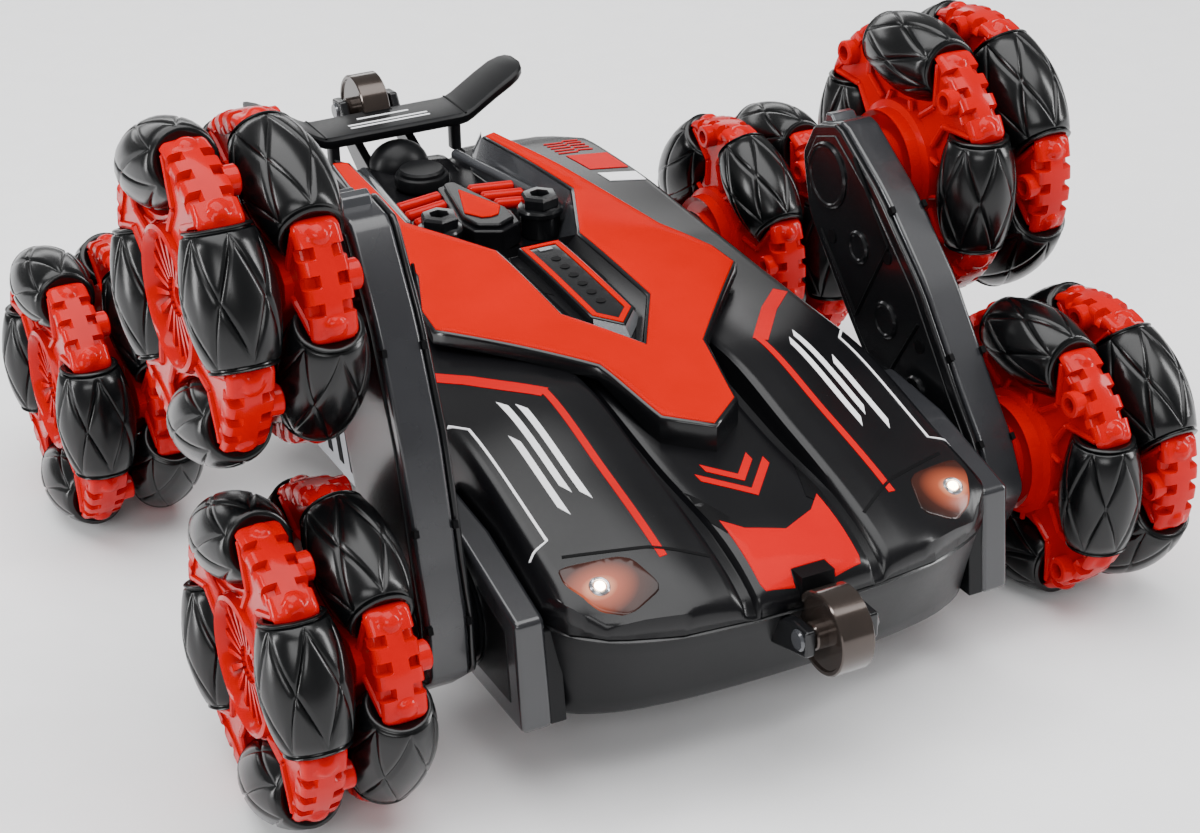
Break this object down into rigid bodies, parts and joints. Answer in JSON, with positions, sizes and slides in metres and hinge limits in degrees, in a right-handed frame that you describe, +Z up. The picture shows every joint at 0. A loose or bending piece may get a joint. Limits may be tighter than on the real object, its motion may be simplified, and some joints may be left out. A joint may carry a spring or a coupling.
{
  "type": "rc stunt car",
  "caption": "Radio-controlled stunt car on double-row omni wheels, with swinging arms that carry climbing wheels at the front, a low body and a small spoiler.",
  "frame": {"origin": "centre of the footprint on the ground, under the four wheels", "axes": "+Z up, nose towards -Y, tail towards +Y; left and right in node names are -X and +X"},
  "size_m": [0.256, 0.2966, 0.1615],
  "materials": {
    "gloss_black": "gloss",
    "satin_black": "satin",
    "plate_red": "gloss",
    "wheel_red": "gloss",
    "roller_black": "semi-gloss",
    "gunmetal": "metallic paint",
    "lens": "clear gloss",
    "switch_grey": "satin",
    "battery": "gloss"
  },
  "bodies": {
    "chassis": {"chassis_tub": "satin_black", "battery_hatch": "satin_black", "battery_pack": "battery", "body_shell": "gloss_black", "hood_plate": "plate_red", "hood_vent": "gloss_black", "engine_cover": "satin_black", "nozzle_left": "gloss_black", "nozzle_right": "gloss_black", "tank_cap": "gloss_black", "spoiler": "satin_black", "headlight_left": "lens", "headlight_right": "lens"},
    "arm_left": {"swing_arm_left": "gloss_black", "arm_cover_left": "satin_black"},
    "arm_right": {"swing_arm_right": "gloss_black", "arm_cover_right": "satin_black"},
    "front_left_wheel": {"front_left_hub": "wheel_red"},
    "front_right_wheel": {"front_right_hub": "wheel_red"},
    "climbing_left_wheel": {"climbing_left_hub": "wheel_red", "climbing_left_rollers": "roller_black"},
    "climbing_right_wheel": {"climbing_right_hub": "wheel_red", "climbing_right_rollers": "roller_black"},
    "rear_left_wheel": {"rear_left_hub": "wheel_red"},
    "rear_right_wheel": {"rear_right_hub": "wheel_red"},
    "nose_roller": {"nose_roller": "gunmetal"},
    "tail_roller": {"tail_roller": "gunmetal"},
    "switch": {"power_switch": "switch_grey"},
    "front_left_outer_roller_1": {"front_left_outer_roller_1": "roller_black"},
    "front_left_outer_roller_2": {"front_left_outer_roller_2": "roller_black"},
    "front_left_outer_roller_3": {"front_left_outer_roller_3": "roller_black"},
    "front_left_outer_roller_4": {"front_left_outer_roller_4": "roller_black"},
    "front_left_inner_roller_1": {"front_left_inner_roller_1": "roller_black"},
    "front_left_inner_roller_2": {"front_left_inner_roller_2": "roller_black"},
    "front_left_inner_roller_3": {"front_left_inner_roller_3": "roller_black"},
    "front_left_inner_roller_4": {"front_left_inner_roller_4": "roller_black"},
    "front_right_outer_roller_1": {"front_right_outer_roller_1": "roller_black"},
    "front_right_outer_roller_2": {"front_right_outer_roller_2": "roller_black"},
    "front_right_outer_roller_3": {"front_right_outer_roller_3": "roller_black"},
    "front_right_outer_roller_4": {"front_right_outer_roller_4": "roller_black"},
    "front_right_inner_roller_1": {"front_right_inner_roller_1": "roller_black"},
    "front_right_inner_roller_2": {"front_right_inner_roller_2": "roller_black"},
    "front_right_inner_roller_3": {"front_right_inner_roller_3": "roller_black"},
    "front_right_inner_roller_4": {"front_right_inner_roller_4": "roller_black"},
    "rear_left_outer_roller_1": {"rear_left_outer_roller_1": "roller_black"},
    "rear_left_outer_roller_2": {"rear_left_outer_roller_2": "roller_black"},
    "rear_left_outer_roller_3": {"rear_left_outer_roller_3": "roller_black"},
    "rear_left_outer_roller_4": {"rear_left_outer_roller_4": "roller_black"},
    "rear_left_inner_roller_1": {"rear_left_inner_roller_1": "roller_black"},
    "rear_left_inner_roller_2": {"rear_left_inner_roller_2": "roller_black"},
    "rear_left_inner_roller_3": {"rear_left_inner_roller_3": "roller_black"},
    "rear_left_inner_roller_4": {"rear_left_inner_roller_4": "roller_black"},
    "rear_right_outer_roller_1": {"rear_right_outer_roller_1": "roller_black"},
    "rear_right_outer_roller_2": {"rear_right_outer_roller_2": "roller_black"},
    "rear_right_outer_roller_3": {"rear_right_outer_roller_3": "roller_black"},
    "rear_right_outer_roller_4": {"rear_right_outer_roller_4": "roller_black"},
    "rear_right_inner_roller_1": {"rear_right_inner_roller_1": "roller_black"},
    "rear_right_inner_roller_2": {"rear_right_inner_roller_2": "roller_black"},
    "rear_right_inner_roller_3": {"rear_right_inner_roller_3": "roller_black"},
    "rear_right_inner_roller_4": {"rear_right_inner_roller_4": "roller_black"}
  },
  "joints": [
    {"name": "arm_left_swing", "type": "hinge", "parent": "chassis", "child": "arm_left", "pos_m": [0, -0.08, 0.04], "axis": [1, 0, 0], "range_deg": [-49, 198]},
    {"name": "arm_right_swing", "type": "hinge", "parent": "chassis", "child": "arm_right", "pos_m": [0, -0.08, 0.04], "axis": [1, 0, 0], "range_deg": [-23, 224]},
    {"name": "front_left_spin", "type": "hinge", "parent": "arm_left", "child": "front_left_wheel", "pos_m": [-0.1078, -0.08, 0.04], "axis": [1, 0, 0], "continuous": true},
    {"name": "front_right_spin", "type": "hinge", "parent": "arm_right", "child": "front_right_wheel", "pos_m": [0.1078, -0.08, 0.04], "axis": [1, 0, 0], "continuous": true},
    {"name": "climbing_left_spin", "type": "hinge", "parent": "arm_left", "child": "climbing_left_wheel", "pos_m": [-0.1078, -0.05257, 0.12151], "axis": [1, 0, 0], "continuous": true},
    {"name": "climbing_right_spin", "type": "hinge", "parent": "arm_right", "child": "climbing_right_wheel", "pos_m": [0.1078, -0.0194, 0.10102], "axis": [1, 0, 0], "continuous": true},
    {"name": "rear_left_spin", "type": "hinge", "parent": "chassis", "child": "rear_left_wheel", "pos_m": [-0.1078, 0.0793, 0.04], "axis": [1, 0, 0], "continuous": true},
    {"name": "rear_right_spin", "type": "hinge", "parent": "chassis", "child": "rear_right_wheel", "pos_m": [0.1078, 0.0793, 0.04], "axis": [1, 0, 0], "continuous": true},
    {"name": "nose_roller_spin", "type": "hinge", "parent": "chassis", "child": "nose_roller", "pos_m": [0, -0.138, 0.045], "axis": [1, 0, 0], "continuous": true},
    {"name": "tail_roller_spin", "type": "hinge", "parent": "chassis", "child": "tail_roller", "pos_m": [0, 0.138, 0.083], "axis": [1, 0, 0], "continuous": true},
    {"name": "power_switch_slide", "type": "slide", "parent": "chassis", "child": "switch", "axis": [0, 1, 0], "range_m": [0, 0.004]},
    {"name": "front_left_outer_roller_1_spin", "type": "hinge", "parent": "front_left_wheel", "child": "front_left_outer_roller_1", "pos_m": [-0.1175, -0.06998, 0.06753], "axis": [0, -0.9397, 0.342], "continuous": true},
    {"name": "front_left_outer_roller_2_spin", "type": "hinge", "parent": "front_left_wheel", "child": "front_left_outer_roller_2", "pos_m": [-0.1175, -0.10753, 0.05002], "axis": [0, -0.342, -0.9397], "continuous": true},
    {"name": "front_left_outer_roller_3_spin", "type": "hinge", "parent": "front_left_wheel", "child": "front_left_outer_roller_3", "pos_m": [-0.1175, -0.09002, 0.01247], "axis": [0, 0.9397, -0.342], "continuous": true},
    {"name": "front_left_outer_roller_4_spin", "type": "hinge", "parent": "front_left_wheel", "child": "front_left_outer_roller_4", "pos_m": [-0.1175, -0.05247, 0.02998], "axis": [0, 0.342, 0.9397], "continuous": true},
    {"name": "front_left_inner_roller_1_spin", "type": "hinge", "parent": "front_left_wheel", "child": "front_left_inner_roller_1", "pos_m": [-0.0981, -0.05344, 0.05238], "axis": [0, -0.4226, 0.9063], "continuous": true},
    {"name": "front_left_inner_roller_2_spin", "type": "hinge", "parent": "front_left_wheel", "child": "front_left_inner_roller_2", "pos_m": [-0.0981, -0.09238, 0.06656], "axis": [0, -0.9063, -0.4226], "continuous": true},
    {"name": "front_left_inner_roller_3_spin", "type": "hinge", "parent": "front_left_wheel", "child": "front_left_inner_roller_3", "pos_m": [-0.0981, -0.10655, 0.02762], "axis": [0, 0.4226, -0.9063], "continuous": true},
    {"name": "front_left_inner_roller_4_spin", "type": "hinge", "parent": "front_left_wheel", "child": "front_left_inner_roller_4", "pos_m": [-0.0981, -0.06762, 0.01345], "axis": [0, 0.9063, 0.4226], "continuous": true},
    {"name": "front_right_outer_roller_1_spin", "type": "hinge", "parent": "front_right_wheel", "child": "front_right_outer_roller_1", "pos_m": [0.1175, -0.05892, 0.06035], "axis": [0, -0.6947, 0.7193], "continuous": true},
    {"name": "front_right_outer_roller_2_spin", "type": "hinge", "parent": "front_right_wheel", "child": "front_right_outer_roller_2", "pos_m": [0.1175, -0.10035, 0.06108], "axis": [0, -0.7193, -0.6947], "continuous": true},
    {"name": "front_right_outer_roller_3_spin", "type": "hinge", "parent": "front_right_wheel", "child": "front_right_outer_roller_3", "pos_m": [0.1175, -0.10108, 0.01965], "axis": [0, 0.6947, -0.7193], "continuous": true},
    {"name": "front_right_outer_roller_4_spin", "type": "hinge", "parent": "front_right_wheel", "child": "front_right_outer_roller_4", "pos_m": [0.1175, -0.05965, 0.01892], "axis": [0, 0.7193, 0.6947], "continuous": true},
    {"name": "front_right_inner_roller_1_spin", "type": "hinge", "parent": "front_right_wheel", "child": "front_right_inner_roller_1", "pos_m": [0.0981, -0.0507, 0.03949], "axis": [0, 0.0175, 0.9998], "continuous": true},
    {"name": "front_right_inner_roller_2_spin", "type": "hinge", "parent": "front_right_wheel", "child": "front_right_inner_roller_2", "pos_m": [0.0981, -0.07949, 0.0693], "axis": [0, -0.9998, 0.0175], "continuous": true},
    {"name": "front_right_inner_roller_3_spin", "type": "hinge", "parent": "front_right_wheel", "child": "front_right_inner_roller_3", "pos_m": [0.0981, -0.1093, 0.04051], "axis": [0, -0.0175, -0.9998], "continuous": true},
    {"name": "front_right_inner_roller_4_spin", "type": "hinge", "parent": "front_right_wheel", "child": "front_right_inner_roller_4", "pos_m": [0.0981, -0.08051, 0.0107], "axis": [0, 0.9998, -0.0175], "continuous": true},
    {"name": "rear_left_outer_roller_1_spin", "type": "hinge", "parent": "rear_left_wheel", "child": "rear_left_outer_roller_1", "pos_m": [-0.1175, 0.08236, 0.06914], "axis": [0, -0.9945, 0.1045], "continuous": true},
    {"name": "rear_left_outer_roller_2_spin", "type": "hinge", "parent": "rear_left_wheel", "child": "rear_left_outer_roller_2", "pos_m": [-0.1175, 0.05016, 0.04306], "axis": [0, -0.1045, -0.9945], "continuous": true},
    {"name": "rear_left_outer_roller_3_spin", "type": "hinge", "parent": "rear_left_wheel", "child": "rear_left_outer_roller_3", "pos_m": [-0.1175, 0.07624, 0.01086], "axis": [0, 0.9945, -0.1045], "continuous": true},
    {"name": "rear_left_outer_roller_4_spin", "type": "hinge", "parent": "rear_left_wheel", "child": "rear_left_outer_roller_4", "pos_m": [-0.1175, 0.10844, 0.03694], "axis": [0, 0.1045, 0.9945], "continuous": true},
    {"name": "rear_left_inner_roller_1_spin", "type": "hinge", "parent": "rear_left_wheel", "child": "rear_left_inner_roller_1", "pos_m": [-0.0981, 0.10207, 0.05844], "axis": [0, -0.6293, 0.7771], "continuous": true},
    {"name": "rear_left_inner_roller_2_spin", "type": "hinge", "parent": "rear_left_wheel", "child": "rear_left_inner_roller_2", "pos_m": [-0.0981, 0.06086, 0.06277], "axis": [0, -0.7771, -0.6293], "continuous": true},
    {"name": "rear_left_inner_roller_3_spin", "type": "hinge", "parent": "rear_left_wheel", "child": "rear_left_inner_roller_3", "pos_m": [-0.0981, 0.05653, 0.02156], "axis": [0, 0.6293, -0.7771], "continuous": true},
    {"name": "rear_left_inner_roller_4_spin", "type": "hinge", "parent": "rear_left_wheel", "child": "rear_left_inner_roller_4", "pos_m": [-0.0981, 0.09774, 0.01723], "axis": [0, 0.7771, 0.6293], "continuous": true},
    {"name": "rear_right_outer_roller_1_spin", "type": "hinge", "parent": "rear_right_wheel", "child": "rear_right_outer_roller_1", "pos_m": [0.1175, 0.08287, 0.06908], "axis": [0, -0.9925, 0.1219], "continuous": true},
    {"name": "rear_right_outer_roller_2_spin", "type": "hinge", "parent": "rear_right_wheel", "child": "rear_right_outer_roller_2", "pos_m": [0.1175, 0.05022, 0.04357], "axis": [0, -0.1219, -0.9925], "continuous": true},
    {"name": "rear_right_outer_roller_3_spin", "type": "hinge", "parent": "rear_right_wheel", "child": "rear_right_outer_roller_3", "pos_m": [0.1175, 0.07573, 0.01092], "axis": [0, 0.9925, -0.1219], "continuous": true},
    {"name": "rear_right_outer_roller_4_spin", "type": "hinge", "parent": "rear_right_wheel", "child": "rear_right_outer_roller_4", "pos_m": [0.1175, 0.10838, 0.03643], "axis": [0, 0.1219, 0.9925], "continuous": true},
    {"name": "rear_right_inner_roller_1_spin", "type": "hinge", "parent": "rear_right_wheel", "child": "rear_right_inner_roller_1", "pos_m": [0.0981, 0.10239, 0.05804], "axis": [0, -0.6157, 0.788], "continuous": true},
    {"name": "rear_right_inner_roller_2_spin", "type": "hinge", "parent": "rear_right_wheel", "child": "rear_right_inner_roller_2", "pos_m": [0.0981, 0.06126, 0.06309], "axis": [0, -0.788, -0.6157], "continuous": true},
    {"name": "rear_right_inner_roller_3_spin", "type": "hinge", "parent": "rear_right_wheel", "child": "rear_right_inner_roller_3", "pos_m": [0.0981, 0.05621, 0.02196], "axis": [0, 0.6157, -0.788], "continuous": true},
    {"name": "rear_right_inner_roller_4_spin", "type": "hinge", "parent": "rear_right_wheel", "child": "rear_right_inner_roller_4", "pos_m": [0.0981, 0.09734, 0.01691], "axis": [0, 0.788, 0.6157], "continuous": true}
  ],
  "couplings": [
    {"joint": "climbing_left_spin", "follows": "front_left_spin", "ratio": 1},
    {"joint": "climbing_right_spin", "follows": "front_right_spin", "ratio": 1}
  ]
}
